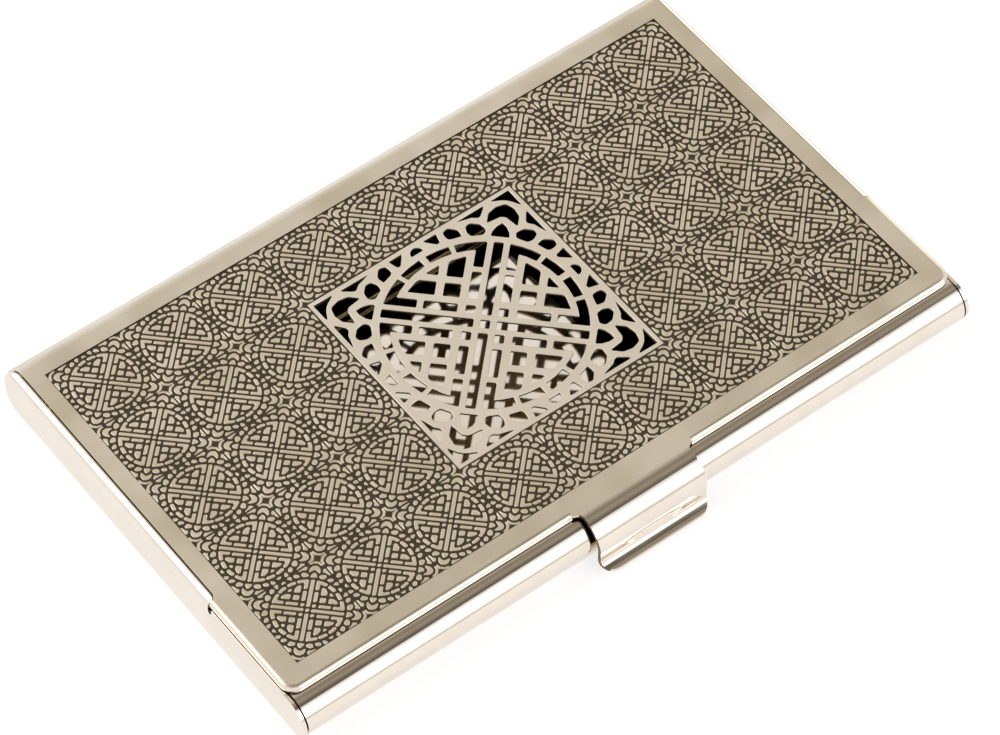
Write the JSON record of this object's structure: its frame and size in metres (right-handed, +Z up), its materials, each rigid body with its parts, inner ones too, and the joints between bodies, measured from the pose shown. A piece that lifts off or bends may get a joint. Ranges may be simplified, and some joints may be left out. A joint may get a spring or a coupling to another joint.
{
  "type": "business card holder",
  "caption": "Slim metal business card case: a polished tray with rolled rails and a hinged lid with an etched, pierced ornament and a thumb tab.",
  "frame": {"origin": "on the resting surface, under the middle of the closed case's bounding box", "axes": "+X along the hinge, +Y from the thumb tab to the hinge, +Z up out of the lid"},
  "size_m": [0.0938, 0.0606, 0.0069],
  "materials": {
    "polished_nickel": "mirror polished, warm nickel plating",
    "satin_nickel": "satin, warm nickel plating",
    "etched_nickel": "satin with a dark, etched line pattern",
    "spring_steel": "drawn wire and thin strip, semi-bright"
  },
  "bodies": {
    "tray_body": {"tray": "polished_nickel", "hinge_pin": "spring_steel", "spring_clip_left": "spring_steel", "spring_clip_right": "spring_steel"},
    "lid_body": {"lid_shell": "satin_nickel", "etched_plate": "etched_nickel"},
    "spring_body": {"card_spring": "spring_steel"}
  },
  "joints": [
    {"name": "lid_hinge", "type": "hinge", "parent": "tray_body", "child": "lid_body", "pos_m": [0, 0.02844, 0.0057], "axis": [-1, 0, 0], "range_deg": [0, 115]},
    {"name": "card_spring_press", "type": "hinge", "parent": "tray_body", "child": "spring_body", "pos_m": [0, 0.02498, 0.0009], "axis": [1, 0, 0], "range_deg": [0, 3.1], "stiffness_Nm_per_rad": 0.05}
  ]
}
